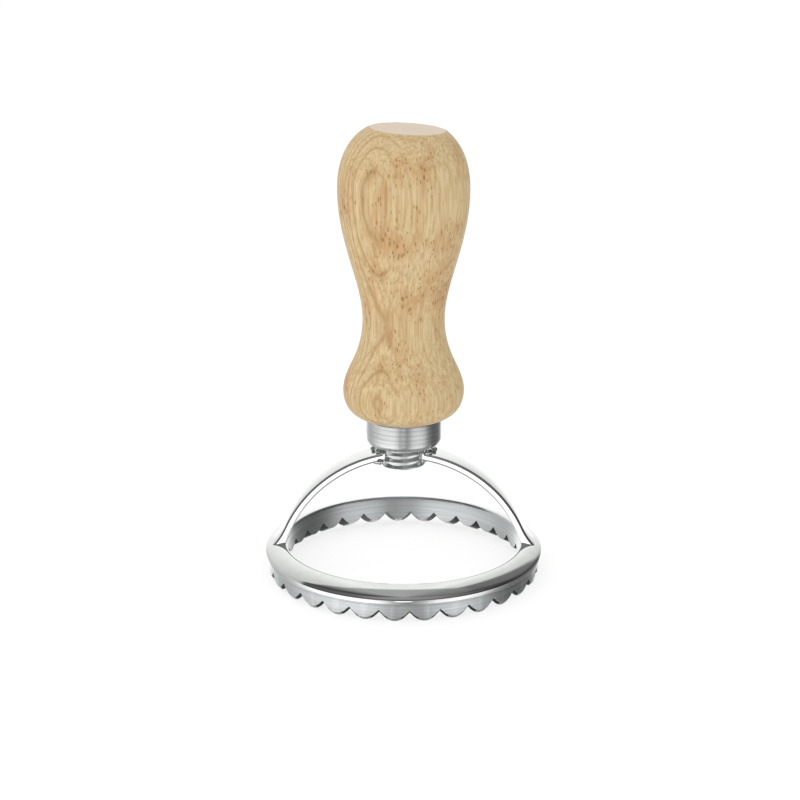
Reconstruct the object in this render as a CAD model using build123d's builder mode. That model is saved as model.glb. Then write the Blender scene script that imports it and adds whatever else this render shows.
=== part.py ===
from build123d import *
import os
from math import acos, asin, ceil, copysign, cos, pi, radians, sin, sqrt

# Round dough cutter: a scalloped cutting ring in a polished rim, two bent straps
# up to a threaded stud, and a turned wooden handle on a metal collar.
# Millimetres. Z is up, the cutting edge lies on Z = 0 and the handle's axis is the Z axis.

os.makedirs("parts", exist_ok=True)

# Rim
rim_dia = 64.0
skirt_wall = 0.8
skirt_depth = 1.25
skirt_height = 0.8
shoulder_radius = 1.0
shoulder_turn = 60.0
crest_rise = 1.8
lip_radius = 0.65

# Cutter ring
cutter_wall = 4.2
cutter_height = 5.7
tooth_count = 29
first_tooth_angle = -93.7
tooth_depth = 2.0
tooth_land = 0.7
edge_land = 0.4
inner_bevel = 1.8
outer_bevel = 0.75
outer_bevel_width = 0.6
flank_share = 0.29
flank_drop_share = 0.44

# Straps from the rim to the stud
strap_width = 6.6
strap_thickness = 1.75
strap_edge_radius = 0.5
arch_height = 29.6
arch_radius = 31.1
heel_rise = 1.4
foot_flare_height = 4.1
toe_inset = 0.7

# Threaded stud
stud_dia = 10.0
thread_pitch = 1.5
thread_depth = 0.8
thread_crest = 0.25
thread_root_gap = 0.2
thread_sink = 0.1
thread_relief = 0.03
thread_lead = 1.0
stud_tail = 1.45
stud_chamfer = 0.5
stud_gap_to_collar = 1.8
stud_engagement = 13.0

# Braze in the corners between the straps and the stud
braze_reach = 2.4
braze_climb = 1.0
braze_drop = 1.3
braze_width = 5.4
braze_hollow = 0.25

# Collar
collar_dia = 17.3
collar_height = 6.4
collar_corner = 1.6
collar_top_chamfer = 0.3
spigot_dia = 13.4
spigot_height = 2.0

# Threaded insert in the handle
insert_dia = 13.0
insert_length = 15.0
insert_chamfer = 0.5

# Handle profile: heights go up from the handle's base, drops go down from its top
handle_length = 65.8
handle_base_dia = 18.0
bulge_dia = 27.3
bulge_height = 6.1
waist_dia = 18.4
waist_height = 22.6
bulb_dia = 29.2
bulb_drop = 14.5
crown_dia = 14.6
crown_tilt = 3.5
crown_edge_radius = 0.3
blank_top_dia = 12.2
blank_top_spare = 0.3
base_round_height = 1.6
base_round_dia = 23.8
lower_flank_dia = 21.8
upper_flank_dia = 24.3
shoulder_flank_dia = 25.1
shoulder_flank_drop = 4.7

# Named clearances
running_clearance = 0.05
collar_bore_clearance = 0.2
cut_margin = 1.0

# Places worked out from the sizes above
rim_r = rim_dia / 2
cutter_r = rim_r - skirt_wall
bore_r = cutter_r - cutter_wall
skirt_bottom = cutter_height - skirt_depth
shoulder_z = skirt_bottom + skirt_height
crown_edge_r = rim_r - shoulder_radius * (1 - cos(radians(shoulder_turn)))
crown_edge_z = shoulder_z + shoulder_radius * sin(radians(shoulder_turn))
heel_z = cutter_height + heel_rise
edge_outer_r = cutter_r - outer_bevel_width
edge_inner_r = edge_outer_r - edge_land
stud_r = stud_dia / 2
core_r = stud_r - thread_depth
arch_centre_z = arch_height - arch_radius
arch_inner_r = arch_radius - strap_thickness
arch_centre_x = bore_r - sqrt(arch_inner_r**2 - (heel_z - arch_centre_z) ** 2)


def arch_point(radius, angle):
    """Point on one of the strap's two arcs, at an angle above the horizontal."""
    return (arch_centre_x + radius * cos(angle), arch_centre_z + radius * sin(angle))


def arch_angle_at_x(radius, x):
    """Angle at which an arc of the strap stands over x."""
    return acos((x - arch_centre_x) / radius)


def arch_angle_at_z(radius, z):
    """Angle at which an arc of the strap passes the height z."""
    return asin((z - arch_centre_z) / radius)


root_top = arch_point(arch_radius, arch_angle_at_x(arch_radius, stud_r))[1]
root_bottom = arch_point(arch_inner_r, arch_angle_at_x(arch_inner_r, stud_r))[1]
stud_bottom = root_bottom - stud_tail
collar_bottom = root_top + stud_gap_to_collar
handle_base = collar_bottom + collar_height
spigot_top = handle_base + spigot_height
stud_top = spigot_top + stud_engagement
handle_top = handle_base + handle_length
bulge_z = handle_base + bulge_height
waist_z = handle_base + waist_height
bulb_z = handle_top - bulb_drop


# Cutter ring: a ring whose lower end is bevelled inside and outside to a narrow land
def bottom_height(radius):
    """Height of the ring's bevelled lower end at a radius, before the notches."""
    if radius < edge_inner_r:
        return inner_bevel * (edge_inner_r - radius) / (edge_inner_r - bore_r)
    if radius > edge_outer_r:
        return outer_bevel * (radius - edge_outer_r) / outer_bevel_width
    return 0.0


half_pitch = pi / tooth_count

with BuildPart() as notch:
    stations = (bore_r - cut_margin, edge_inner_r, edge_outer_r, cutter_r + cut_margin)
    for station in stations:
        base = bottom_height(station)
        half_width = station * sin(half_pitch) - tooth_land / 2
        flank_x = flank_share * half_width
        flank_z = base + tooth_depth * (1 - flank_drop_share)
        flank_slope = (flank_x, -tooth_depth * flank_drop_share)
        section_plane = Plane(
            origin=(station * cos(half_pitch), 0, 0), x_dir=(0, 1, 0), z_dir=(1, 0, 0)
        )
        with BuildSketch(section_plane):
            with BuildLine():
                Line((0, base + tooth_depth), (flank_x, flank_z))
                TangentArc((flank_x, flank_z), (half_width, base), tangent=flank_slope)
                Line((half_width, base), (half_width, -cut_margin))
                Line((half_width, -cut_margin), (0, -cut_margin))
                mirror(about=Plane.YZ)
            make_face()
    loft(ruled=True)

with BuildPart() as cutter_ring:
    with BuildSketch(Plane.XZ):
        with BuildLine():
            Polyline(
                (bore_r, inner_bevel),
                (edge_inner_r, 0),
                (edge_outer_r, 0),
                (cutter_r, outer_bevel),
                (cutter_r, cutter_height),
                (bore_r, cutter_height),
                close=True,
            )
        make_face()
    revolve(axis=Axis.Z)
    first_notch_angle = first_tooth_angle + 180 / tooth_count
    with PolarLocations(0, tooth_count, start_angle=first_notch_angle):
        add(notch.part, mode=Mode.SUBTRACT)

# Rim: a crowned ring over the cutter ring, highest near the bore, with a short skirt round it
with BuildPart() as rim:
    crest_z = cutter_height + crest_rise
    crest = (bore_r + lip_radius, crest_z)
    crown_edge = (crown_edge_r, crown_edge_z)
    with BuildSketch(Plane.XZ):
        with BuildLine():
            Polyline(
                (rim_r, shoulder_z),
                (rim_r, skirt_bottom),
                (cutter_r, skirt_bottom),
                (cutter_r, cutter_height),
                (bore_r, cutter_height),
                (bore_r, crest_z - lip_radius),
            )
            CenterArc((bore_r + lip_radius, crest_z - lip_radius), lip_radius, 90, 90)
            CenterArc((rim_r - shoulder_radius, shoulder_z), shoulder_radius, 0, shoulder_turn)
            crown_slope = (-sin(radians(shoulder_turn)), cos(radians(shoulder_turn)))
            TangentArc(crown_edge, crest, tangent=crown_slope)
        make_face()
    revolve(axis=Axis.Z)

# Legs: two straps bent in an arc, each foot flared out and seated on the rim's crown
root_x = stud_r / 2
outer_root = arch_angle_at_x(arch_radius, root_x)
inner_root = arch_angle_at_x(arch_inner_r, root_x)
outer_foot = arch_angle_at_z(arch_radius, heel_z + foot_flare_height)
inner_foot = arch_angle_at_z(arch_inner_r, crown_edge_z)

with BuildPart() as right_leg:
    flare_start = arch_point(arch_radius, outer_foot)
    flare_tangent = (sin(outer_foot), -cos(outer_foot))
    toe = (crown_edge_r - toe_inset, crown_edge_z)
    heel = arch_point(arch_inner_r, inner_foot)
    with BuildSketch(Plane.XZ):
        with BuildLine():
            ThreePointArc(
                arch_point(arch_radius, outer_root),
                arch_point(arch_radius, (outer_root + outer_foot) / 2),
                flare_start,
            )
            TangentArc(flare_start, toe, tangent=flare_tangent)
            Line(toe, heel)
            ThreePointArc(
                heel,
                arch_point(arch_inner_r, (inner_root + inner_foot) / 2),
                arch_point(arch_inner_r, inner_root),
            )
            Line(arch_point(arch_inner_r, inner_root), arch_point(arch_radius, outer_root))
        make_face()
    extrude(amount=strap_width / 2, both=True)
    long_edges = faces().filter_by(Axis.Y).edges().filter_by(GeomType.CIRCLE)
    fillet(long_edges, strap_edge_radius)
    add(rim.part, mode=Mode.SUBTRACT)
    Cylinder(stud_r, 4 * arch_height, mode=Mode.SUBTRACT)

with BuildPart() as left_leg:
    mirror(right_leg.part, about=Plane.YZ)

# Braze: a hollow-faced bead above and below each strap, against the stud
with BuildPart() as hub_braze:
    for strap_radius, rise in ((arch_radius, braze_climb), (arch_inner_r, -braze_drop)):
        bead_end = arch_angle_at_x(strap_radius, stud_r + braze_reach)
        bead_start = arch_angle_at_x(strap_radius, root_x)
        seat_z = arch_point(strap_radius, arch_angle_at_x(strap_radius, stud_r))[1]
        inner_corner = arch_point(strap_radius, bead_start)
        tip = arch_point(strap_radius, bead_end)
        with BuildSketch(Plane.XZ):
            with BuildLine():
                Polyline(inner_corner, (root_x, seat_z + rise), (stud_r, seat_z + rise))
                SagittaArc((stud_r, seat_z + rise), tip, copysign(braze_hollow, rise))
                ThreePointArc(
                    tip, arch_point(strap_radius, (bead_end + bead_start) / 2), inner_corner
                )
            make_face()
        extrude(amount=braze_width / 2, both=True)
    Cylinder(stud_r, 4 * arch_height, mode=Mode.SUBTRACT)
    mirror(about=Plane.YZ)

# Stud: a rod with a raised helical thread over the stretch that shows
with BuildPart() as stud:
    thread_start = stud_bottom - thread_lead
    thread_turns = ceil((collar_bottom - thread_start) / thread_pitch) + 1
    shank_bottom = thread_start + (thread_turns + 1) * thread_pitch
    with BuildSketch(Plane.XZ):
        with BuildLine():
            Polyline(
                (0, thread_start - thread_pitch),
                (core_r, thread_start - thread_pitch),
                (core_r, shank_bottom),
                (stud_r, shank_bottom + thread_depth),
                (stud_r, stud_top - stud_chamfer),
                (stud_r - stud_chamfer, stud_top),
                (0, stud_top),
                close=True,
            )
        make_face()
    revolve(axis=Axis.Z)
    with BuildLine():
        ridge_path = Helix(
            thread_pitch, thread_turns * thread_pitch, core_r, center=(0, 0, thread_start)
        )
    with BuildSketch(Plane(origin=ridge_path @ 0, x_dir=(1, 0, 0), z_dir=ridge_path % 0)):
        with BuildLine():
            Polyline(
                (-thread_sink, -(thread_pitch - thread_root_gap) / 2),
                (thread_depth - thread_relief, -thread_crest / 2),
                (thread_depth - thread_relief, thread_crest / 2),
                (-thread_sink, (thread_pitch - thread_root_gap) / 2),
                close=True,
            )
        make_face()
    sweep(path=ridge_path, is_frenet=True)
    with BuildSketch(Plane.XZ):
        with BuildLine():
            Polyline(
                (0, thread_start - 2 * thread_pitch),
                (2 * stud_r, thread_start - 2 * thread_pitch),
                (2 * stud_r, stud_bottom + stud_chamfer + stud_r),
                (stud_r - stud_chamfer, stud_bottom),
                (0, stud_bottom),
                close=True,
            )
        make_face()
    revolve(axis=Axis.Z, mode=Mode.SUBTRACT)

# Collar: a turned bush with a spigot that centres it in the handle
with BuildPart() as collar:
    collar_r = collar_dia / 2
    collar_bore_r = stud_r + collar_bore_clearance
    with BuildSketch(Plane.XZ):
        with BuildLine():
            Polyline(
                (collar_r - collar_corner, collar_bottom),
                (collar_bore_r, collar_bottom),
                (collar_bore_r, spigot_top),
                (spigot_dia / 2, spigot_top),
                (spigot_dia / 2, handle_base),
                (collar_r - collar_top_chamfer, handle_base),
                (collar_r, handle_base - collar_top_chamfer),
                (collar_r, collar_bottom + collar_corner),
            )
            RadiusArc(
                (collar_r - collar_corner, collar_bottom),
                (collar_r, collar_bottom + collar_corner),
                collar_corner,
            )
        make_face()
    revolve(axis=Axis.Z)

# Threaded insert: a bush pressed into the handle, which the stud screws into
with BuildPart() as threaded_insert:
    with BuildSketch(Plane.XY.offset(spigot_top)):
        Circle(insert_dia / 2)
        Circle(stud_r + running_clearance, mode=Mode.SUBTRACT)
    extrude(amount=insert_length)
    chamfer(edges().filter_by(GeomType.CIRCLE), insert_chamfer)

# Handle: one turned piece of wood, its top sawn off at a slight slant, bored from below
with BuildPart() as handle:
    with BuildSketch(Plane.XZ):
        with BuildLine():
            Line((0, handle_base), (handle_base_dia / 2, handle_base))
            Spline(
                (handle_base_dia / 2, handle_base),
                (base_round_dia / 2, handle_base + base_round_height),
                (bulge_dia / 2, bulge_z),
                (lower_flank_dia / 2, (bulge_z + waist_z) / 2),
                (waist_dia / 2, waist_z),
                (upper_flank_dia / 2, (waist_z + bulb_z) / 2),
                (bulb_dia / 2, bulb_z),
                (shoulder_flank_dia / 2, handle_top - shoulder_flank_drop),
                (crown_dia / 2, handle_top),
                (blank_top_dia / 2, handle_top + blank_top_spare),
            )
            Line((blank_top_dia / 2, handle_top + blank_top_spare), (0, handle_top + blank_top_spare))
            Line((0, handle_top + blank_top_spare), (0, handle_base))
        make_face()
    revolve(axis=Axis.Z)
    crown_slant = Vector(0, 0, 1).rotate(Axis.Y, crown_tilt)
    split(bisect_by=Plane(origin=(-crown_dia / 2, 0, handle_top), z_dir=crown_slant), keep=Keep.BOTTOM)
    fillet(faces().sort_by(Axis.Z)[-1].edges(), crown_edge_radius)
    with BuildSketch(Plane.XY.offset(handle_base)):
        Circle(spigot_dia / 2 + running_clearance)
    extrude(amount=spigot_height, mode=Mode.SUBTRACT)
    with BuildSketch(Plane.XY.offset(spigot_top)):
        Circle(insert_dia / 2)
    extrude(amount=insert_length, mode=Mode.SUBTRACT)

for name, piece in (
    ("cutter_ring", cutter_ring),
    ("rim", rim),
    ("left_leg", left_leg),
    ("right_leg", right_leg),
    ("hub_braze", hub_braze),
    ("stud", stud),
    ("collar", collar),
    ("threaded_insert", threaded_insert),
    ("handle", handle),
):
    piece.part.label = name
    export_step(piece.part, f"parts/{name}.step")
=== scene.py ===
"""Dressed model of a round dough cutter.

A scalloped cutting ring sits under a polished, crowned rim. Two bent straps rise from the rim
to a threaded stud, a turned collar covers the stud, and a turned wooden grip is screwed on top.
Lengths are in millimetres and MM turns them into metres. The scene's front is -Y.
"""

import logging
from collections.abc import Sequence
from dataclasses import dataclass
from enum import Enum
from math import acos, asin, cos, degrees, pi, radians, sin, sqrt, tau

import bmesh
import bpy
import numpy as np
from mathutils import Matrix, Vector


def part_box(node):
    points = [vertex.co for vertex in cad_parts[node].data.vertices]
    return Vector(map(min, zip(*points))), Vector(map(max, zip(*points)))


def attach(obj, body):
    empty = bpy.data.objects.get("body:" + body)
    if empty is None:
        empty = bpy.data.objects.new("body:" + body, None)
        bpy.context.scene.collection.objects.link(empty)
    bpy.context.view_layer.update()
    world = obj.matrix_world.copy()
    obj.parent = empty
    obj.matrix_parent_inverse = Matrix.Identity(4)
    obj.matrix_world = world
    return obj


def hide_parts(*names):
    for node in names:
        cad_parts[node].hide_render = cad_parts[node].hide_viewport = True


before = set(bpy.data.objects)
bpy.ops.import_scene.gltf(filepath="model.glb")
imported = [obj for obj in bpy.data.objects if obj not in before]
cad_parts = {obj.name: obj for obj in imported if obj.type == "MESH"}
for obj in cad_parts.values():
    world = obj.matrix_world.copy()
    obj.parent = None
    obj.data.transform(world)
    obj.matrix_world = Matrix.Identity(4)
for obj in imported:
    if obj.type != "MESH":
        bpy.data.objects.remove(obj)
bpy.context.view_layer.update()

MM = 0.001
BODY = "root"
LATHE_STEPS = 320
WELD_DISTANCE = 0.0005 * MM
# Edges this close to a joint between two pieces, in millimetres, stay sharp.
JOINT_MARGIN = 0.1
SMOOTH = {"interpolation_type": "SMOOTHSTEP"}

log = logging.getLogger("dough_cutter")

Pair = tuple[float, float]
Triple = tuple[float, float, float]
Outline = Sequence[Pair]
Colour = tuple[float, float, float, float]
Stops = Sequence[tuple[float, float | Colour]]
Mesh = bmesh.types.BMesh
Material = bpy.types.Material
Object = bpy.types.Object
Tree = bpy.types.NodeTree
Node = bpy.types.Node
Socket = bpy.types.NodeSocket


class Side(Enum):
    """Which side of the handle a strap stands on, as the sign of its X."""

    LEFT = -1
    RIGHT = 1


def linear(hex_code: str) -> Colour:
    """Turn an sRGB hex value into a linear colour.

    Args:
        hex_code: six hex digits, such as "d8c49a".

    Returns:
        The linear red, green, blue and an alpha of one.
    """
    channels = [int(hex_code[i:i + 2], 16) / 255 for i in (0, 2, 4)]
    red, green, blue = (c / 12.92 if c <= 0.04045 else ((c + 0.055) / 1.055) ** 2.4 for c in channels)
    return (red, green, blue, 1.0)


def grey(level: float) -> Colour:
    """A grey of the given linear brightness."""
    return (level, level, level, 1.0)


def feed(tree: Tree, node: Node, feeds: Sequence | dict) -> None:
    """Give a node's inputs their links and constants.

    Args:
        tree: the node tree.
        node: one of its nodes.
        feeds: sockets to link or constants to set, in the order of the node's inputs, or a
            dictionary of them by the input's name or number.
    """
    for key, value in feeds.items() if isinstance(feeds, dict) else enumerate(feeds):
        if isinstance(value, Socket):
            tree.links.new(value, node.inputs[key])
        else:
            node.inputs[key].default_value = value


def add_node(tree: Tree, kind: str, feeds: Sequence | dict = (), stops: Stops = (), **settings) -> Node:
    """Add one node to a tree with its settings and links.

    Args:
        tree: the node tree of a material or the world.
        kind: the node's type without its "ShaderNode", such as "Math".
        feeds: what its inputs get, as the function feed takes it.
        stops: (position, colour or grey level) pairs for a colour ramp, in rising order.
        settings: properties of the node itself.

    Returns:
        The new node.
    """
    node = tree.nodes.new("ShaderNode" + kind)
    for name, value in settings.items():
        setattr(node, name, value)
    feed(tree, node, feeds)
    for index, (position, level) in enumerate(stops):
        elements = node.color_ramp.elements
        element = elements[index] if index < 2 else elements.new(position)
        element.position = position
        element.color = level if isinstance(level, tuple) else grey(level)
    return node


def lay_coats(tree: Tree, ground: Socket, coats: Sequence[tuple[Socket, Socket | Colour]]) -> Socket:
    """Lay colours over a ground, one after another.

    Args:
        tree: the node tree.
        ground: the colour below them all.
        coats: how far each coat covers, from 0 to 1, with its colour, the lowest first.

    Returns:
        The colour that shows in the end.
    """
    for share, tint in coats:
        # A mix takes its share at input 0 and its colours at 6 and 7. Output 2 is the colour.
        mix = add_node(tree, "Mix", {0: share, 6: ground, 7: tint}, data_type="RGBA")
        ground = mix.outputs[2]
    return ground


def lathe(outline: Outline, closed: bool = True, steps: int = LATHE_STEPS) -> Mesh:
    """Turn an outline round the handle's axis into a closed shell.

    Args:
        outline: (radius, height) points in millimetres.
        closed: whether the last point joins the first; not so where both lie on the axis.
        steps: how many steps make the full turn.

    Returns:
        A new bmesh.
    """
    bm = bmesh.new()
    verts = [bm.verts.new((radius * MM, 0, height * MM)) for radius, height in outline]
    pairs = list(zip(verts, verts[1:] + verts[:1] if closed else verts[1:]))
    edges = [bm.edges.new(pair) for pair in pairs]
    bmesh.ops.spin(
        bm, geom=verts + edges, cent=(0, 0, 0), axis=(0, 0, 1), dvec=(0, 0, 0),
        angle=tau, steps=steps, use_merge=True, use_duplicate=False,
    )
    bmesh.ops.remove_doubles(bm, verts=bm.verts, dist=WELD_DISTANCE)
    bmesh.ops.recalc_face_normals(bm, faces=bm.faces)
    return bm


def round_edges(bm: Mesh, edges: list, width: float, segments: int) -> None:
    """Round chosen edges of a mesh.

    Args:
        bm: the mesh.
        edges: the edges to round.
        width: how far the rounding reaches from each edge, in millimetres.
        segments: faces across the rounding.
    """
    bmesh.ops.bevel(
        bm, geom=edges, offset=width * MM, offset_type="OFFSET", segments=segments,
        profile=0.5, affect="EDGES", material=-1, clamp_overlap=False,
    )


def soften(bm: Mesh, width: float, sharper_than: float, below: float, segments: int) -> None:
    """Round the sharp edges of a mesh a little, as tumbling and polishing do.

    Args:
        bm: the mesh.
        width: how far the rounding reaches from each edge, in millimetres.
        sharper_than: the least fold, in degrees, that counts as sharp.
        below: height in millimetres above which edges stay as they are.
        segments: faces across the rounding.
    """
    folds = [
        e for e in bm.edges
        if len(e.link_faces) == 2 and degrees(e.calc_face_angle()) > sharper_than
        and max(v.co.z for v in e.verts) < below * MM
    ]
    round_edges(bm, folds, width, segments)


def saw_off(bm: Mesh, place: Sequence[float], outwards: Sequence[float]) -> list:
    """Cut away what lies past a plane and close the cut.

    Args:
        bm: the mesh.
        place: a point on the plane, in metres.
        outwards: the plane's normal, which points at the part that goes.

    Returns:
        The new faces that close the cut.
    """
    cut = bmesh.ops.bisect_plane(
        bm, geom=bm.verts[:] + bm.edges[:] + bm.faces[:], dist=WELD_DISTANCE,
        plane_co=place, plane_no=outwards, clear_outer=True,
    )
    loop = [e for e in cut["geom_cut"] if isinstance(e, bmesh.types.BMEdge)]
    return bmesh.ops.edgeloop_fill(bm, edges=loop)["faces"]


def finish_piece(
    name: str, bm: Mesh, materials: Sequence[Material], node: str,
    crease: float = 40.0, mirrored: bool = False,
) -> Object:
    """Make an object of a finished mesh, dress it and let it stand for its node.

    Args:
        name: the piece's name.
        bm: the finished mesh, which is used up.
        materials: the materials that its faces wear, by the faces' material number.
        node: the node that it stands for.
        crease: folds sharper than this, in degrees, stay sharp in the shading, as do the
            edges of flat faces with more than four corners.
        mirrored: whether metal mirrors the piece. Most pieces are left out, so that the rim
            and the straps show soft even surroundings.

    Returns:
        The new object.
    """
    for face in bm.faces:
        face.smooth = True
    for edge in bm.edges:
        flat = any(len(face.verts) > 4 for face in edge.link_faces)
        edge.smooth = not flat and degrees(edge.calc_face_angle(pi)) < crease
    mesh = bpy.data.meshes.new(name)
    bm.to_mesh(mesh)
    bm.free()
    piece = bpy.data.objects.new(name, mesh)
    bpy.context.scene.collection.objects.link(piece)
    for material in materials:
        mesh.materials.append(material)
    piece.visible_glossy = mirrored
    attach(piece, BODY)
    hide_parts(node)
    log.info("%s: %d faces, stands for %s", name, len(mesh.polygons), node)
    return piece


def arc_points(centre: Sequence[float], radius: float, start: float, end: float, count: int) -> list:
    """Points along an arc.

    Args:
        centre: the arc's centre.
        radius: its radius.
        start: the first angle in radians.
        end: the last angle in radians.
        count: the number of points, both ends included.

    Returns:
        The points as pairs.
    """
    turns = [start + (end - start) * i / (count - 1) for i in range(count)]
    return [(centre[0] + radius * cos(a), centre[1] + radius * sin(a)) for a in turns]


def tangent_arc(start: Vector, along: Vector, end: Vector, count: int) -> list:
    """Points along the arc that leaves one point in a given direction and ends at another.

    Args:
        start: the first point.
        along: the direction in which the arc leaves it, of length one.
        end: the last point.
        count: the number of points, both ends included.

    Returns:
        The points as pairs.
    """
    across = Vector((-along.y, along.x))
    chord = end - start
    radius = chord.length_squared / (2 * chord.dot(across))
    centre = start + across * radius
    first = (start - centre).angle_signed(Vector((1, 0)))
    last = (end - centre).angle_signed(Vector((1, 0)))
    turn = (last - first + pi) % tau - pi
    return arc_points(centre, abs(radius), first, first + turn, count)


def spline_through(points: Outline, per_span: int) -> list[Pair]:
    """Natural cubic spline through a few points.

    Args:
        points: the points that the curve passes, in order.
        per_span: how many points stand for each span.

    Returns:
        The points along the curve, both ends included.
    """
    through = np.array(points, float)
    step = np.diff(through, axis=0)
    span = np.hypot(*step.T)
    slope = step / span[:, None]
    last = len(through) - 1
    system = np.eye(last + 1)
    pull = np.zeros_like(through)
    for i in range(1, last):
        system[i, i - 1:i + 2] = span[i - 1], 2 * (span[i - 1] + span[i]), span[i]
        pull[i] = 6 * (slope[i] - slope[i - 1])
    bend = np.linalg.solve(system, pull)
    curve = [tuple(through[0])]
    for i in range(last):
        for share in np.linspace(0, 1, per_span + 1)[1:]:
            rest = 1 - share
            sag = (rest**3 - rest) * bend[i] + (share**3 - share) * bend[i + 1]
            curve.append(tuple(rest * through[i] + share * through[i + 1] + sag * span[i] ** 2 / 6))
    return curve


@dataclass(frozen=True)
class Finish:
    """What every finish has: a name and a way to begin its material."""

    name: str

    def start(self, turn: float = 0.0) -> tuple[Material, Tree, Node, Socket]:
        """Begin the material.

        Args:
            turn: how far its pattern is turned about the handle's axis, in radians.

        Returns:
            The material, its node tree, its shader and Object coordinates in millimetres.
        """
        material = bpy.data.materials.new(self.name)
        material.use_nodes = True
        tree = material.node_tree
        place = add_node(tree, "TexCoord").outputs["Object"]
        scaled = {"Vector": place, "Scale": (1 / MM, 1 / MM, 1 / MM), "Rotation": (0, 0, turn)}
        millimetres = add_node(tree, "Mapping", scaled).outputs["Vector"]
        return material, tree, tree.nodes["Principled BSDF"], millimetres


@dataclass(frozen=True)
class Rubberwood(Finish):
    """Rubberwood, turned, sanded and thinly oiled.

    To the eye it is warm and dry, pale tan with a soft sheen, and its open pores show as short
    brown dashes. The growth layers are shells that face the front left, so the bulb and the
    bulge cut them in faint nested ovals and arches, and they fade out towards the right.
    Real pores are about 0.2 mm wide and real fibres far finer, and both are drawn coarser than
    that, so that they show. The pairs for onset, crowding, fade and facing give the value at
    which an effect starts and the one at which it is full.
    """

    pale: str = "dcc699"
    tan: str = "c29d68"
    layer_line: str = "ab8150"
    pore: str = "8a5a29"
    patch: str = "be844b"
    end_grain: str = "ead9c6"
    fibre_cell: Triple = (0.5, 0.5, 9.0)
    fibre_tones: Pair = (0.28, 0.60)
    fibre_roughness: Pair = (0.42, 0.56)
    fibre_relief: float = 0.25
    patch_cell: Triple = (7.0, 7.0, 12.0)
    patch_onset: Pair = (0.46, 0.70)
    patch_strength: float = 0.45
    pore_cell: Triple = (0.6, 0.6, 2.4)
    pore_crowding: Pair = (0.35, 0.66)
    pore_width: Pair = (0.11, 0.37)
    pore_edge: float = 0.12
    pore_strength: float = 0.65
    layer_turn: float = radians(26)
    layer_pitch: float = 2.2
    layer_start: float = 12.65
    layer_hollow: float = 0.077
    layer_profile: Stops = ((0.0, 0.7), (0.08, 0.3), (0.2, 0.0), (0.6, 0.0), (0.88, 0.2), (1.0, 0.7))
    layer_fade: Pair = (-2.0, 7.0)
    layer_faded: float = 0.15
    drift_cell: Triple = (8.0, 8.0, 20.0)
    drift_reach: float = 2.0
    crown_facing: Pair = (0.97, 0.995)
    crown_strength: float = 0.8
    relief_depth: float = 0.06
    relief_strength: float = 0.2
    ior: float = 1.5
    specular_level: float = 0.35

    def build(self) -> Material:
        """Make the material.

        Returns:
            The new material.
        """
        material, tree, shader, place = self.start(self.layer_turn)
        patterns = self.patterns(tree, place)
        fibre, cloud = patterns["fibre"], patterns["cloud"]
        tones = tuple(zip(self.fibre_tones, (linear(self.tan), linear(self.pale))))
        ground = add_node(tree, "ValToRGB", (fibre,), tones).outputs[0]
        onset = (cloud, *self.patch_onset, 0.0, self.patch_strength)
        patches = add_node(tree, "MapRange", onset, **SMOOTH).outputs[0]
        pores = self.pores(tree, patterns["pore"], cloud)
        normal = add_node(tree, "NewGeometry").outputs["True Normal"]
        up = add_node(tree, "SeparateXYZ", (normal,)).outputs["Z"]
        crown = add_node(tree, "MapRange", (up, *self.crown_facing, 0.0, self.crown_strength)).outputs[0]
        coats = (
            (patches, linear(self.patch)),
            (self.layer_lines(tree, place, patterns["drift"]), linear(self.layer_line)),
            (pores, linear(self.pore)),
            (crown, linear(self.end_grain)),
        )
        rough = add_node(tree, "MapRange", (fibre, 0.0, 1.0, *self.fibre_roughness)).outputs[0]
        relief = add_node(tree, "Math", (fibre, self.fibre_relief), operation="MULTIPLY").outputs[0]
        height = add_node(tree, "Math", (relief, pores), operation="SUBTRACT").outputs[0]
        depth = {"Height": height, "Strength": self.relief_strength, "Distance": self.relief_depth * MM}
        feed(tree, shader, {
            "Base Color": lay_coats(tree, ground, coats),
            "Roughness": rough,
            "Normal": add_node(tree, "Bump", depth).outputs[0],
            "IOR": self.ior,
            "Specular IOR Level": self.specular_level,
        })
        return material

    def patterns(self, tree: Tree, place: Socket) -> dict[str, Socket]:
        """The uneven patterns that make the figure, each with cells of a real size.

        Args:
            tree: the material's node tree.
            place: coordinates in millimetres.

        Returns:
            The fibre's streaks, a slow cloud, the layers' drift and the distance from the
            middle of a pore, as sockets by name.
        """
        found = {}
        for name, kind, cell, feeds in (
            ("fibre", "TexNoise", self.fibre_cell, {"Detail": 3.0, "Roughness": 0.6}),
            ("cloud", "TexNoise", self.patch_cell, {"Detail": 2.5, "Roughness": 0.6}),
            ("drift", "TexNoise", self.drift_cell, {"Detail": 2.0, "Roughness": 0.6}),
            ("pore", "TexVoronoi", self.pore_cell, {"Randomness": 1.0}),
        ):
            cells = add_node(tree, "VectorMath", (place, cell), operation="DIVIDE").outputs[0]
            found[name] = add_node(tree, kind, {"Vector": cells, "Scale": 1.0, **feeds}).outputs[0]
        return found

    def layer_lines(self, tree: Tree, place: Socket, drift: Socket) -> Socket:
        """Where the growth layers' dark lines lie.

        Args:
            tree: the material's node tree.
            place: coordinates in millimetres, with -Y across the layers.
            drift: a slow noise that bends the layers.

        Returns:
            A socket from 0 between the lines to at most 1 in them.
        """
        split = add_node(tree, "SeparateXYZ", (place,))
        across, along = split.outputs["X"], split.outputs["Y"]
        bend = add_node(tree, "Math", (drift, self.drift_reach), operation="MULTIPLY").outputs[0]
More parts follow.
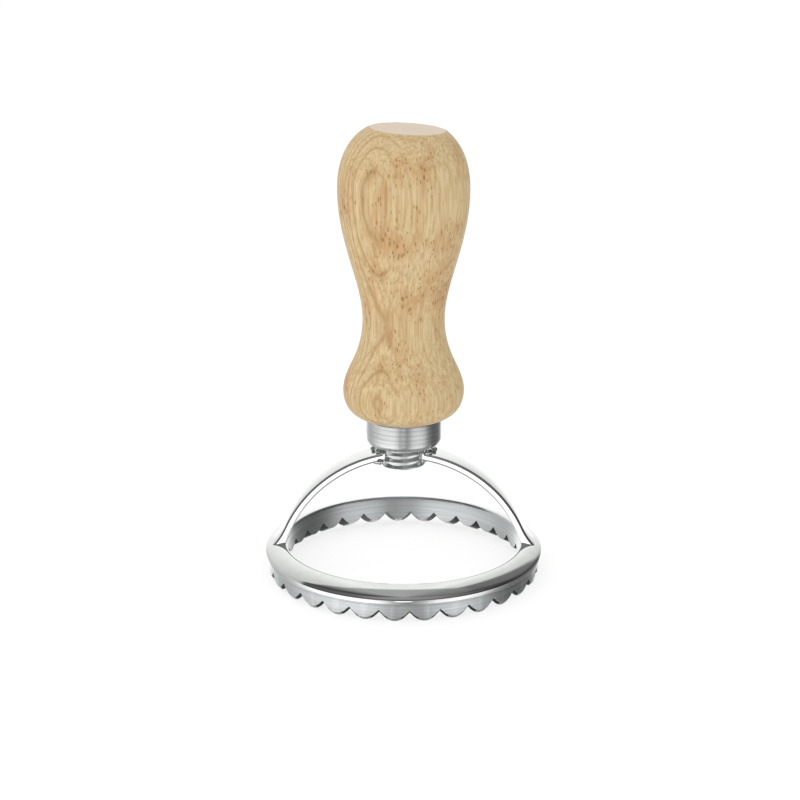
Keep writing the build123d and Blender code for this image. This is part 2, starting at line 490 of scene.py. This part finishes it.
        # The count of layers is (across² * hollow + along + start + bend) / -pitch.
        count = across
        for operation, other in (
            ("MULTIPLY", across),
            ("MULTIPLY", self.layer_hollow),
            ("ADD", along),
            ("ADD", self.layer_start),
            ("ADD", bend),
            ("DIVIDE", -self.layer_pitch),
        ):
            count = add_node(tree, "Math", (count, other), operation=operation).outputs[0]
        share = add_node(tree, "Math", (count,), operation="FRACT").outputs[0]
        line = add_node(tree, "ValToRGB", (share,), self.layer_profile).outputs[0]
        fading = (across, *self.layer_fade, 1.0, self.layer_faded)
        fade = add_node(tree, "MapRange", fading, **SMOOTH).outputs[0]
        return add_node(tree, "Math", (line, fade), operation="MULTIPLY").outputs[0]

    def pores(self, tree: Tree, distance: Socket, cloud: Socket) -> Socket:
        """Short dashes along the grain, thick in some stretches and rare in others.

        Args:
            tree: the material's node tree.
            distance: the distance from the middle of the nearest pore, in cells.
            cloud: a slow noise that says where the pores are thick.

        Returns:
            A socket from 0 beside the pores to at most 1 in them.
        """
        width = add_node(tree, "MapRange", (cloud, *self.pore_crowding, *self.pore_width)).outputs[0]
        inside = add_node(tree, "Math", (width, distance), operation="SUBTRACT").outputs[0]
        edge = (inside, 0.0, self.pore_edge, 0.0, self.pore_strength)
        return add_node(tree, "MapRange", edge).outputs[0]


@dataclass(frozen=True)
class Metal(Finish):
    """A bare metal whose surface marks have a real size.

    Marks that are long round the axis and low along it are the rings that a lathe leaves. Such
    a surface spreads reflections up and down, so the eye sees upright light and dark bands.
    Marks as long as they are high are a buffed surface's faint haze over a mirror.
    """

    colour: str
    shade: str
    roughness: float
    mark_length: float
    mark_height: float
    mark_depth: float
    spread: float = 0.0
    spread_turn: float = 0.25
    mark_tones: Pair = (0.3, 0.65)
    mark_range: Pair = (0.3, 0.7)
    roughness_shares: Pair = (1.2, 0.8)
    relief_strength: float = 0.4

    def build(self) -> Material:
        """Make the material.

        Returns:
            The new material.
        """
        material, tree, shader, place = self.start()
        cell = (self.mark_length, self.mark_length, self.mark_height)
        cells = add_node(tree, "VectorMath", (place, cell), operation="DIVIDE").outputs[0]
        uneven = {"Vector": cells, "Scale": 1.0, "Detail": 3.0, "Roughness": 0.6}
        marks = add_node(tree, "TexNoise", uneven).outputs[0]
        tones = tuple(zip(self.mark_tones, (linear(self.shade), linear(self.colour))))
        roughness = [self.roughness * share for share in self.roughness_shares]
        depth = {"Height": marks, "Strength": self.relief_strength, "Distance": self.mark_depth * MM}
        feed(tree, shader, {
            "Base Color": add_node(tree, "ValToRGB", (marks,), tones).outputs[0],
            "Roughness": add_node(tree, "MapRange", (marks, *self.mark_range, *roughness)).outputs[0],
            "Normal": add_node(tree, "Bump", depth).outputs[0],
            "Metallic": 1.0,
        })
        if self.spread:
            tangent = add_node(tree, "Tangent", direction_type="RADIAL", axis="Z").outputs[0]
            around = {"Anisotropic": self.spread, "Anisotropic Rotation": self.spread_turn}
            feed(tree, shader, {"Tangent": tangent, **around})
        return material


# The marks of a lathe are really about 0.1 mm apart, and those of a polishing mop finer still.
# Both are drawn several times as coarse, so that they show.

# Turned steel is a satin grey that shows its fine rings and soft upright bands.
TURNED_STEEL = Metal(
    "stainless_steel_turned", colour="dcdfdf", shade="ccd0d0", roughness=0.36,
    mark_length=40.0, mark_height=0.5, mark_depth=0.003, spread=0.7,
)
# The flanks of the notches are left rough as cut. Their colour is also darkened as painted shade, for the
# shadow beneath the ring that these downward faces mirror.
SHADED_FLANK_STEEL = Metal(
    "stainless_steel_as_cut_shade_painted", colour="626666", shade="4c5050", roughness=0.5,
    mark_length=0.6, mark_height=0.6, mark_depth=0.01,
)
# Buffed steel is a mirror with a trace of haze.
BUFFED_STEEL = Metal(
    "stainless_steel_buffed", colour="e6e8e6", shade="dfe1df", roughness=0.06,
    mark_length=3.0, mark_height=3.0, mark_depth=0.004,
)
# A rolled thread is burnished, so its ridges glint.
THREAD_STEEL = Metal(
    "steel_thread_rolled", colour="e6e8e8", shade="ced1d1", roughness=0.26,
    mark_length=20.0, mark_height=0.3, mark_depth=0.004, spread=0.5,
)
# Braze sets from a liquid, so its lumps are smooth and bright.
FLOWED_BRAZE = Metal(
    "silver_braze_flowed", colour="e0e1e0", shade="b9bbba", roughness=0.14,
    mark_length=0.8, mark_height=0.8, mark_depth=0.02,
)
# Turned aluminium is whiter than the steel, and its shallower rings give stronger upright bands.
TURNED_ALUMINIUM = Metal(
    "aluminium_turned", colour="dcdddd", shade="d2d3d3", roughness=0.27,
    mark_length=30.0, mark_height=0.5, mark_depth=0.002, spread=0.85,
)
# Machined brass is a plain satin yellow. The grip hides it.
MACHINED_BRASS = Metal(
    "brass_machined", colour="cfae62", shade="b8964c", roughness=0.3,
    mark_length=30.0, mark_height=0.4, mark_depth=0.01, spread=0.3,
)


@dataclass
class CutterRing:
    """The scalloped ring: a thick wall whose lower end is bevelled and notched into teeth.

    The flank's shares say how much of a notch's half width and depth its straight flank takes.
    """

    bore: float = 27.0
    wall_radius: float = 31.2
    height: float = 5.7
    teeth: int = 29
    first_tooth: float = radians(-93.7)
    notch_depth: float = 2.0
    tooth_land: float = 0.7
    edge_land: float = 0.4
    inner_bevel: float = 1.8
    outer_bevel: float = 0.75
    outer_bevel_width: float = 0.6
    flank_share: float = 0.29
    flank_drop_share: float = 0.44
    steps_per_tooth: int = 28
    edge_softness: float = 0.05
    edge_fold: float = 24.0
    flank_slope: float = 0.3

    def notch_rise(self, radius: float, angle: float) -> float:
        """How far the notches lift the lower end at a place on the ring.

        Args:
            radius: the place's distance from the axis.
            angle: its angle round the axis, in radians.

        Returns:
            The lift above the bevelled end, or 0 on the tooth's land.
        """
        pitch = tau / self.teeth
        past_valley = (angle - self.first_tooth) % pitch - pitch / 2
        across = abs(radius * sin(past_valley))
        reach = radius * sin(pitch / 2) - self.tooth_land / 2
        flank = self.flank_share * reach
        drop = self.notch_depth * self.flank_drop_share
        if across <= flank:
            return self.notch_depth - drop * across / flank
        if across >= reach:
            return 0.0
        # Between the two an arc leaves the straight flank smoothly and ends at the land.
        start = Vector((flank, self.notch_depth - drop))
        chord = Vector((reach, 0)) - start
        slope = Vector((flank, -drop)).normalized()
        inward = Vector((-slope.y, slope.x))
        radius = chord.length_squared / (2 * chord.dot(inward))
        centre = start + inward * radius
        return centre.y - sqrt(max(radius**2 - (across - centre.x) ** 2, 0))

    def build(self, wall_steel: Material, flank_steel_shaded: Material) -> Object:
        """Make the ring and dress it.

        Args:
            wall_steel: the finish of its walls and bevels.
            flank_steel_shaded: the finish of the notches' flanks, whose darker colour is painted shade.

        Returns:
            The finished ring.
        """
        edge_outer = self.wall_radius - self.outer_bevel_width
        edge_inner = edge_outer - self.edge_land
        outline = [
            (self.bore, self.inner_bevel),
            ((self.bore + edge_inner) / 2, self.inner_bevel / 2),
            (edge_inner, 0),
            (edge_outer, 0),
            (self.wall_radius, self.outer_bevel),
            (self.wall_radius, self.height),
            (self.bore, self.height),
        ]
        bm = lathe(outline, steps=self.teeth * self.steps_per_tooth)
        turn = Matrix.Rotation(self.first_tooth + pi / self.teeth, 3, "Z")
        bmesh.ops.rotate(bm, verts=bm.verts, cent=(0, 0, 0), matrix=turn)
        flat_top = (self.height - JOINT_MARGIN) * MM
        for vert in bm.verts:
            if vert.co.z < flat_top:
                angle = vert.co.xy.angle_signed(Vector((1, 0)))
                vert.co.z += self.notch_rise(vert.co.xy.length / MM, angle) * MM
        bmesh.ops.recalc_face_normals(bm, faces=bm.faces)
        soften(bm, self.edge_softness, self.edge_fold, self.height - JOINT_MARGIN, segments=1)
        self.mark_flanks(bm)
        steels = (wall_steel, flank_steel_shaded)
        return finish_piece("cutter_ring_turned", bm, steels, "cutter_ring", crease=20)

    def mark_flanks(self, bm: Mesh) -> None:
        """Give the notches' flanks, which face down and along the ring, the second finish, whose darker
        colour is painted shade.

        Args:
            bm: the notched ring.
        """
        for face in bm.faces:
            middle = face.calc_center_median()
            round_axis = Vector((-middle.y, middle.x, 0)).normalized()
            if face.normal.z < 0 and abs(face.normal.dot(round_axis)) > self.flank_slope:
                face.material_index = 1


@dataclass
class Rim:
    """The polished rim: a crown that falls outwards to a rounded shoulder and a short skirt."""

    bore: float = 27.0
    radius: float = 32.0
    underside: float = 5.7
    crest_rise: float = 1.8
    lip_radius: float = 0.65
    shoulder_radius: float = 1.0
    shoulder_turn: float = radians(60)
    skirt_wall: float = 0.8
    skirt_height: float = 0.8
    skirt_depth: float = 1.25
    edge_softness: float = 0.1
    edge_fold: float = 60.0
    corner_points: int = 9
    crown_points: int = 20

    @property
    def shoulder_centre(self) -> Vector:
        """Centre of the shoulder's arc."""
        shoulder_z = self.underside - self.skirt_depth + self.skirt_height
        return Vector((self.radius - self.shoulder_radius, shoulder_z))

    @property
    def crown_edge(self) -> Vector:
        """Where the crown meets the shoulder."""
        turn = self.shoulder_turn
        return self.shoulder_centre + self.shoulder_radius * Vector((cos(turn), sin(turn)))

    def build(self, bright_steel: Material, bore_steel: Material) -> Object:
        """Make the rim and dress it.

        Args:
            bright_steel: the finish of its crown and skirt.
            bore_steel: the finish of its bore, which carries on from the cutter's.

        Returns:
            The finished rim.
        """
        crest = Vector((self.bore + self.lip_radius, self.underside + self.crest_rise))
        lip_centre = (crest.x, crest.y - self.lip_radius)
        lip = arc_points(lip_centre, self.lip_radius, pi, pi / 2, self.corner_points)
        shoulder = arc_points(
            self.shoulder_centre, self.shoulder_radius, 0, self.shoulder_turn, self.corner_points
        )
        rising = Vector((-sin(self.shoulder_turn), cos(self.shoulder_turn)))
        crown = tangent_arc(self.crown_edge, rising, crest, self.crown_points)
        skirt_bottom = self.underside - self.skirt_depth
        inside = self.radius - self.skirt_wall
        outline = [
            (self.radius, skirt_bottom),
            *shoulder,
            *crown[1:-1],
            *reversed(lip),
            (self.bore, self.underside),
            (inside, self.underside),
            (inside, skirt_bottom),
        ]
        bm = lathe(outline)
        soften(bm, self.edge_softness, self.edge_fold, self.underside - JOINT_MARGIN, segments=3)
        # Halfway round the lip the turned bore gives way to the buffed crown.
        bore_reach = (self.bore + self.lip_radius * (1 - cos(pi / 4))) * MM
        for face in bm.faces:
            if face.calc_center_median().xy.length < bore_reach:
                face.material_index = 1
        return finish_piece("rim_polished", bm, (bright_steel, bore_steel), "rim")


@dataclass
class StrapLeg:
    """One bent strap from the rim up to the stud, with rounded long edges."""

    side: Side
    rim: Rim
    width: float = 6.6
    thickness: float = 1.75
    edge_radius: float = 0.5
    edge_segments: int = 5
    arch_height: float = 29.6
    arch_radius: float = 31.1
    heel_rise: float = 1.4
    toe_inset: float = 0.7
    flare: float = 4.1
    root: float = 4.3
    outer_points: int = 56
    inner_points: int = 64
    flare_points: int = 14

    def build(self, steel: Material) -> Object:
        """Make the strap and dress it.

        Args:
            steel: its finish.

        Returns:
            The finished strap.
        """
        bm = bmesh.new()
        half = self.width / 2 * MM
        verts = [bm.verts.new((x * MM * self.side.value, -half, z * MM)) for x, z in self.outline()]
        face = bm.faces.new(verts)
        grown = bmesh.ops.extrude_face_region(bm, geom=[face])
        raised = [v for v in grown["geom"] if isinstance(v, bmesh.types.BMVert)]
        bmesh.ops.translate(bm, verts=raised, vec=(0, 2 * half, 0))
        bmesh.ops.recalc_face_normals(bm, faces=bm.faces)
        long_edges = [
            e for e in bm.edges
            if abs(e.verts[0].co.y - e.verts[1].co.y) < WELD_DISTANCE
            and abs(e.verts[0].co.x) > (self.root + JOINT_MARGIN) * MM
            and max(v.co.z for v in e.verts) > (self.rim.crown_edge.y + JOINT_MARGIN) * MM
        ]
        round_edges(bm, long_edges, self.edge_radius, self.edge_segments)
        leg = f"{self.side.name.lower()}_leg"
        return finish_piece(f"{leg}_polished", bm, (steel,), leg, mirrored=True)

    def outline(self) -> list:
        """The strap seen from the front: its outer arc, its flared toe and its inner arc.

        Returns:
            The points as pairs of distance from the axis and height.
        """
        inner_radius = self.arch_radius - self.thickness
        low = self.arch_height - self.arch_radius
        heel_z = self.rim.underside + self.heel_rise
        foot_z = self.rim.crown_edge.y
        centre = (self.rim.bore - sqrt(inner_radius**2 - (heel_z - low) ** 2), low)
        outer_root = acos((self.root - centre[0]) / self.arch_radius)
        inner_root = acos((self.root - centre[0]) / inner_radius)
        outer_foot = asin((heel_z + self.flare - low) / self.arch_radius)
        inner_foot = asin((foot_z - low) / inner_radius)
        outer = arc_points(centre, self.arch_radius, outer_root, outer_foot, self.outer_points)
        inner = arc_points(centre, inner_radius, inner_foot, inner_root, self.inner_points)
        falling = Vector((sin(outer_foot), -cos(outer_foot)))
        toe = Vector((self.rim.crown_edge.x - self.toe_inset, foot_z))
        return outer + tangent_arc(Vector(outer[-1]), falling, toe, self.flare_points)[1:] + inner


@dataclass
class ThreadedStud:
    """The stud: a threaded end that shows below the collar and a plain rod above."""

    radius: float = 5.0
    pitch: float = 1.5
    depth: float = 0.8
    crest: float = 0.25
    root_gap: float = 0.2
    first_ridge: float = 27.4
    turns: int = 7
    turns_below: int = 3
    shank_rise: float = 3.6
    steps_per_turn: int = 96
    seam: float = 0.002

    def build(self, steel: Material) -> Object:
        """Make the stud and dress it.

        Args:
            steel: its finish.

        Returns:
            The finished stud.
        """
        flank = (self.pitch - self.crest - self.root_gap) / 2
        core = self.radius - self.depth
        bm = bmesh.new()
        outline = []
        for turn in range(self.turns):
            z = self.first_ridge + (turn - self.turns_below) * self.pitch
            outline += [
                (self.radius, z - self.crest / 2),
                (self.radius, z + self.crest / 2),
                (core, z + self.crest / 2 + flank),
                (core, z + self.crest / 2 + flank + self.root_gap),
            ]
        verts = [bm.verts.new((0, -r * MM, z * MM)) for r, z in outline]
        edges = [bm.edges.new(pair) for pair in zip(verts, verts[1:])]
        bmesh.ops.spin(
            bm, geom=verts + edges, cent=(0, 0, 0), axis=(0, 0, 1),
            dvec=(0, 0, self.pitch / self.steps_per_turn * MM), angle=tau,
            steps=self.steps_per_turn, use_merge=False, use_duplicate=False,
        )
        # Each turn's end is welded to the next turn's start.
        bmesh.ops.remove_doubles(bm, verts=bm.verts, dist=self.seam * MM)
        self.trim(bm)
        return finish_piece("stud_threaded", bm, (steel,), "stud", crease=35)

    def trim(self, bm: Mesh) -> None:
        """Cut the thread to length, close its ends and add the plain rod above.

        Args:
            bm: the open thread.
        """
        bottom, top = (corner.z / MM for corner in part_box("stud"))
        shank = self.first_ridge + self.shank_rise
        saw_off(bm, (0, 0, bottom * MM), (0, 0, -1))
        saw_off(bm, (0, 0, shank * MM), (0, 0, 1))
        bmesh.ops.recalc_face_normals(bm, faces=bm.faces)
        rod = bmesh.ops.create_cone(
            bm, cap_ends=True, segments=self.steps_per_turn, radius1=self.radius * MM,
            radius2=self.radius * MM, depth=(top - shank) * MM,
        )
        bmesh.ops.translate(bm, verts=rod["verts"], vec=(0, 0, (top + shank) / 2 * MM))


@dataclass
class Collar:
    """The turned collar between the stud and the grip, with a spigot that centres it."""

    radius: float = 8.65
    bore: float = 5.2
    corner: float = 1.6
    corner_points: int = 12
    top_chamfer: float = 0.3
    spigot: float = 6.7
    spigot_height: float = 2.0

    def build(self, aluminium: Material) -> Object:
        """Make the collar and dress it.

        Args:
            aluminium: its finish.

        Returns:
            The finished collar.
        """
        bottom, spigot_top = (corner.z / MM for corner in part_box("collar"))
        top = spigot_top - self.spigot_height
        corner_centre = (self.radius - self.corner, bottom + self.corner)
        outline = [
            (self.bore, bottom),
            *arc_points(corner_centre, self.corner, -pi / 2, 0, self.corner_points),
            (self.radius, top - self.top_chamfer),
            (self.radius - self.top_chamfer, top),
            (self.spigot, top),
            (self.spigot, spigot_top),
            (self.bore, spigot_top),
        ]
        bm = lathe(outline)
        return finish_piece("collar_turned", bm, (aluminium,), "collar", crease=30)


@dataclass
class WoodenGrip:
    """The turned grip: a bulb above a waist and a bulge, its top sawn at a slight slant.

    A pair is a radius and a height above the base, or above the crown for the blank's top,
    which is sawn off.
    """

    base_radius: float = 9.0
    base_round: Pair = (11.9, 1.6)
    bulge: Pair = (13.65, 6.1)
    lower_flank: float = 10.9
    waist: Pair = (9.2, 22.6)
    upper_flank: float = 12.15
    bulb: Pair = (14.6, 51.3)
    shoulder_flank: Pair = (12.55, 61.1)
    crown_radius: float = 7.3
    blank_top: Pair = (6.1, 0.3)
    crown_tilt: float = radians(3.5)
    crown_softness: float = 0.35
    crown_segments: int = 4
    spigot_bore: float = 6.75
    insert_bore: float = 6.5
    points_per_span: int = 14
    turning_steps: int = 200

    def build(self, wood: Material) -> Object:
        """Make the grip and dress it.

        Args:
            wood: its finish.

        Returns:
            The finished grip.
        """
        base, top = (corner.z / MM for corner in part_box("handle"))
        spigot_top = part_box("collar")[1].z / MM
        insert_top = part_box("threaded_insert")[1].z / MM
        through = [
            (self.base_radius, 0),
            self.base_round,
            self.bulge,
            (self.lower_flank, (self.bulge[1] + self.waist[1]) / 2),
            self.waist,
            (self.upper_flank, (self.waist[1] + self.bulb[1]) / 2),
            self.bulb,
            self.shoulder_flank,
            (self.crown_radius, top - base),
            (self.blank_top[0], top - base + self.blank_top[1]),
        ]
        curve = spline_through(through, self.points_per_span)
        outline = [
            (0, insert_top),
            (self.insert_bore, insert_top),
            (self.insert_bore, spigot_top),
            (self.spigot_bore, spigot_top),
            (self.spigot_bore, base),
            *((radius, base + height) for radius, height in curve),
            (0, top + self.blank_top[1]),
        ]
        bm = lathe(outline, closed=False, steps=self.turning_steps)
        self.saw_crown(bm, top)
        return finish_piece("grip_turned", bm, (wood,), "handle", crease=45)

    def saw_crown(self, bm: Mesh, top: float) -> None:
        """Cut the top at its slant and break the edge.

        Args:
            bm: the turned grip.
            top: height of the crown's high side, in millimetres.
        """
        slant = Vector((sin(self.crown_tilt), 0, cos(self.crown_tilt)))
        crown = saw_off(bm, (-self.crown_radius * MM, 0, top * MM), slant)
        bmesh.ops.recalc_face_normals(bm, faces=bm.faces)
        edges = [e for face in crown for e in face.edges]
        round_edges(bm, edges, self.crown_softness, self.crown_segments)


@dataclass
class BrazeBeads:
    """Brazing metal run in lumps into the corners where the straps meet the stud.

    The reach is how far from the axis they lie, and the lump is their least and largest radius.
    """

    strap: StrapLeg
    half_width: float = 2.9
    reach: Pair = (4.8, 7.4)
    lump: Pair = (0.4, 1.0)
    lift: float = 0.2
    lumps_per_corner: int = 11
    crowding: float = 1.6
    taper: Pair = (0.6, 1.0)
    voxel: float = 0.13
    flow_steps: int = 4
    seed: int = 7

    def build(self, braze: Material) -> Object:
        """Make the beads and dress them.

        Args:
            braze: their finish.

        Returns:
            The finished beads, as one piece.
        """
        draw = np.random.default_rng(self.seed)
        low, high = (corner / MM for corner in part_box("hub_braze"))
        bm = bmesh.new()
        for side in Side:
            for lift in (self.lift, -self.strap.thickness - self.lift):
                for _ in range(self.lumps_per_corner):
                    out = draw.uniform(0, 1) ** self.crowding
                    x = self.reach[0] + out * (self.reach[1] - self.reach[0])
                    y = draw.uniform(-self.half_width, self.half_width)
                    radius = self.lump[1] - out * (self.lump[1] - self.lump[0]) * draw.uniform(*self.taper)
                    z = self.strap.arch_height + lift - x**2 / (2 * self.strap.arch_radius)
                    z = min(max(z, low.z + radius), high.z - radius)
                    ball = bmesh.ops.create_icosphere(bm, subdivisions=3, radius=radius * MM)["verts"]
                    bmesh.ops.translate(bm, verts=ball, vec=(side.value * x * MM, y * MM, z * MM))
        piece = finish_piece("hub_braze_beads", bm, (braze,), "hub_braze", mirrored=True)
        self.melt(piece)
        return piece

    def melt(self, piece: Object) -> None:
        """Let the lumps flow into one another.

        Args:
            piece: the beads, whose mesh is replaced.
        """
        fuse = piece.modifiers.new("fuse", "REMESH")
        fuse.mode = "VOXEL"
        fuse.voxel_size = self.voxel * MM
        fuse.use_smooth_shade = True
        flow = piece.modifiers.new("flow", "SMOOTH")
        flow.iterations = self.flow_steps
        bpy.context.view_layer.update()
        evaluated = piece.evaluated_get(bpy.context.evaluated_depsgraph_get())
        mesh = bpy.data.meshes.new_from_object(evaluated)
        piece.modifiers.clear()
        piece.data = mesh


@dataclass
class Studio:
    """Floor, lights and camera: a lit white sweep in a room with bright and dark stretches.

    A row of the surroundings gives the linear brightness that metal mirrors in one band of
    heights, by the angle round from the back (-180 degrees) past the left (-90), the front (0)
    and the right (90) to the back again. A row's span gives the rise above level, in degrees,
    at which it starts to show and at which it covers the rows before it.
    """

    camera_place: Triple = (-0.152, -406.12, 167.46)
    camera_pitch: float = radians(17.314)
    camera_turn: float = 0.0016069
    lens: float = 84.48
    sensor: float = 36.0
    near_clip: float = 10.0
    floor_reach: float = 4000.0
    floor_colour: str = "949494"
    floor_roughness: float = 0.9
    floor_glow: float = 0.78
    floor_row: Stops = (
        (-180, 1.5), (-155, 1.4), (-142, 0.7), (-128, 0.5), (-106, 0.63), (-88, 1.1), (-72, 1.4),
        (-45, 1.55), (-32, 1.55), (-20, 1.25), (-8, 0.55), (4, 0.3), (16, 0.55), (28, 1.1), (40, 1.3),
        (54, 1.25), (68, 1.0), (82, 0.4), (100, 0.18), (122, 0.18), (142, 0.3), (155, 1.0), (170, 1.5),
        (180, 1.5),
    )
    below: float = 0.3
    below_span: Pair = (-42, -58)
    low_row: Stops = (
        (-180, 1.1), (-164, 1.1), (-150, 0.8), (-140, 0.72), (-91, 0.6), (-86, 0.08), (-44, 0.12),
        (-20, 0.16), (0, 0.16), (16, 0.2), (30, 0.16), (55, 0.1), (80, 0.03), (100, 0.05), (140, 0.12),
        (150, 0.6), (165, 1.1), (180, 1.1),
    )
    low_span: Pair = (-16, -11)
    high_row: Stops = (
        (-180, 1.0), (-166, 1.1), (-150, 0.87), (-140, 0.75), (-101, 0.62), (-94, 0.3), (-88, 0.1),
        (-44, 0.16), (-24, 0.3), (0, 0.36), (22, 0.3), (40, 0.24), (60, 0.14), (98, 0.05), (116, 0.14),
        (147, 0.2), (151, 0.78), (158, 0.86), (167, 1.1), (180, 1.0),
    )
    high_span: Pair = (12, 30)
    top_row: Stops = (
        (-180, 0.46), (-150, 0.42), (-136, 0.25), (-126, 0.06), (-60, 0.12), (-20, 0.32), (0, 0.38),
        (60, 0.2), (124, 0.2), (150, 0.3), (165, 0.42), (180, 0.46),
    )
    # The top row starts at a height that differs round the room, and its span counts from there.
    top_edge: Stops = (
        (-180, 62), (-146, 61), (-130, 52), (-107, 42), (-96, 30), (-90, 20), (-86, 60), (180, 62),
    )
    top_span: Pair = (-2, 2)
    # The soft row lights whatever isn't a mirror.
    soft_row: Stops = ((-180, 0.8), (-90, 1.1), (-35, 1.2), (20, 1.0), (90, 0.6), (180, 0.8))
    strip: float = 1.8
    strip_turn: float = 9.0
    strip_foot: Pair = (-25, -23)
    strip_head: Pair = (-17, -18.5)

    def build(self) -> None:
        """Make the whole studio."""
        self.add_camera()
        self.add_floor()
        self.add_world()
        bpy.context.scene.view_settings.view_transform = "Standard"
        log.info("studio: floor, world light and camera")

    def add_camera(self) -> None:
        """Stand the camera where the object is seen as in the photograph."""
        data = bpy.data.cameras.new("camera")
        data.lens = self.lens
        data.sensor_width = self.sensor
        data.clip_start = self.near_clip * MM
        camera = bpy.data.objects.new("camera", data)
        camera.location = Vector(self.camera_place) * MM
        camera.rotation_euler = (pi / 2 - self.camera_pitch, 0, self.camera_turn)
        bpy.context.scene.collection.objects.link(camera)
        bpy.context.scene.camera = camera

    def add_floor(self) -> None:
        """Lay the white floor, of opal acrylic lit from below so that only faint shadows show."""
        bm = bmesh.new()
        bmesh.ops.create_circle(bm, cap_ends=True, segments=128, radius=self.floor_reach * MM)
        mesh = bpy.data.meshes.new("floor")
        bm.to_mesh(mesh)
        bm.free()
        floor = bpy.data.objects.new("floor", mesh)
        bpy.context.scene.collection.objects.link(floor)
        material = bpy.data.materials.new("opal_acrylic_lit")
        material.use_nodes = True
        feed(material.node_tree, material.node_tree.nodes["Principled BSDF"], {
            "Base Color": linear(self.floor_colour),
            "Roughness": self.floor_roughness,
            "Specular IOR Level": 0.0,
            "Emission Color": linear("ffffff"),
            "Emission Strength": self.floor_glow,
        })
        mesh.materials.append(material)
        floor.visible_glossy = False

    def add_world(self) -> None:
        """Light the scene, give the metal its surroundings to mirror and leave the view white."""
        world = bpy.data.worlds.new("studio")
        bpy.context.scene.world = world
        world.use_nodes = True
        tree = world.node_tree
        tree.nodes.clear()
        place = add_node(tree, "TexCoord").outputs["Generated"]
        split = add_node(tree, "SeparateXYZ", (place,)).outputs
        forward = add_node(tree, "Math", (split["Y"], -1.0), operation="MULTIPLY").outputs[0]
        turn = add_node(tree, "Math", (split["X"], forward), operation="ARCTAN2").outputs[0]
        rise = add_node(tree, "Math", (split["Z"],), operation="ARCSINE").outputs[0]
        rows = self.rows(tree, turn)
        above_edge = add_node(tree, "Math", (rise, rows["edge"]), operation="SUBTRACT").outputs[0]
        coats = []
        for height, span, row in (
            (rise, self.below_span, grey(self.below)),
            (rise, self.low_span, rows["low"]),
            (rise, self.high_span, rows["high"]),
            (above_edge, self.top_span, rows["top"]),
        ):
            share = add_node(tree, "MapRange", (height, *map(radians, span)), **SMOOTH).outputs[0]
            coats.append((share, row))
        coats.append((self.strip_share(tree, turn, rise), grey(self.strip)))
        colours = (lay_coats(tree, rows["floor"], coats), rows["soft"], linear("ffffff"))
        mirrored, soft, backdrop = (
            add_node(tree, "Background", {"Color": colour}).outputs[0] for colour in colours
        )
        ray = add_node(tree, "LightPath").outputs
        lit = add_node(tree, "MixShader", (ray["Is Glossy Ray"], soft, mirrored)).outputs[0]
        shown = add_node(tree, "MixShader", (ray["Is Camera Ray"], lit, backdrop)).outputs[0]
        add_node(tree, "OutputWorld", {"Surface": shown})

    def rows(self, tree: Tree, turn: Socket) -> dict[str, Socket]:
        """The rows of the surroundings, as the direction round the room gives them.

        Args:
            tree: the world's node tree.
            turn: the direction's turn from the front, in radians.

        Returns:
            The brightness in each row, and the height of the top row's edge in radians.
        """
        around = add_node(tree, "MapRange", (turn, -pi, pi)).outputs[0]
        rows = {
            "floor": self.floor_row,
            "low": self.low_row,
            "high": self.high_row,
            "top": self.top_row,
            "edge": [(angle, radians(height)) for angle, height in self.top_edge],
            "soft": self.soft_row,
        }
        for name, row in rows.items():
            stops = [((angle + 180) / 360, level) for angle, level in row]
            rows[name] = add_node(tree, "ValToRGB", (around,), stops).outputs[0]
        return rows

    def strip_share(self, tree: Tree, turn: Socket, rise: Socket) -> Socket:
        """Where the floor's lit strip in front of the object shows.

        Args:
            tree: the world's node tree.
            turn: the direction's turn from the front, in radians.
            rise: its rise above level, in radians.

        Returns:
            A socket from 0 outside the strip to 1 in it.
        """
        aside = add_node(tree, "Math", (turn,), operation="ABSOLUTE").outputs[0]
        strip = 1.0
        for value, span in (
            (aside, (self.strip_turn, self.strip_turn / 2)),
            (rise, self.strip_foot),
            (rise, self.strip_head),
        ):
            share = add_node(tree, "MapRange", (value, *map(radians, span)), **SMOOTH).outputs[0]
            strip = add_node(tree, "Math", (strip, share), operation="MULTIPLY").outputs[0]
        return strip


def dress_insert() -> None:
    """Give the brass insert, which the grip hides, its own finish."""
    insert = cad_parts["threaded_insert"]
    insert.data.materials.clear()
    insert.data.materials.append(MACHINED_BRASS.build())
    insert.visible_glossy = False
    log.info("threaded_insert: dressed as it stands")


def main() -> None:
    """Build every piece in order and report it."""
    logging.basicConfig(level=logging.INFO, format="%(name)s %(message)s")
    turned_steel = TURNED_STEEL.build()
    buffed_steel = BUFFED_STEEL.build()
    rim = Rim()
    straps = [StrapLeg(side, rim) for side in Side]
    # The notch flanks get a steel darkened as painted shade.
    CutterRing().build(turned_steel, SHADED_FLANK_STEEL.build())
    rim.build(buffed_steel, turned_steel)
    for strap in straps:
        strap.build(buffed_steel)
    BrazeBeads(straps[0]).build(FLOWED_BRAZE.build())
    ThreadedStud().build(THREAD_STEEL.build())
    Collar().build(TURNED_ALUMINIUM.build())
    WoodenGrip().build(Rubberwood("rubberwood_turned_oiled").build())
    dress_insert()
    Studio().build()


if __name__ == "__main__":
    main()
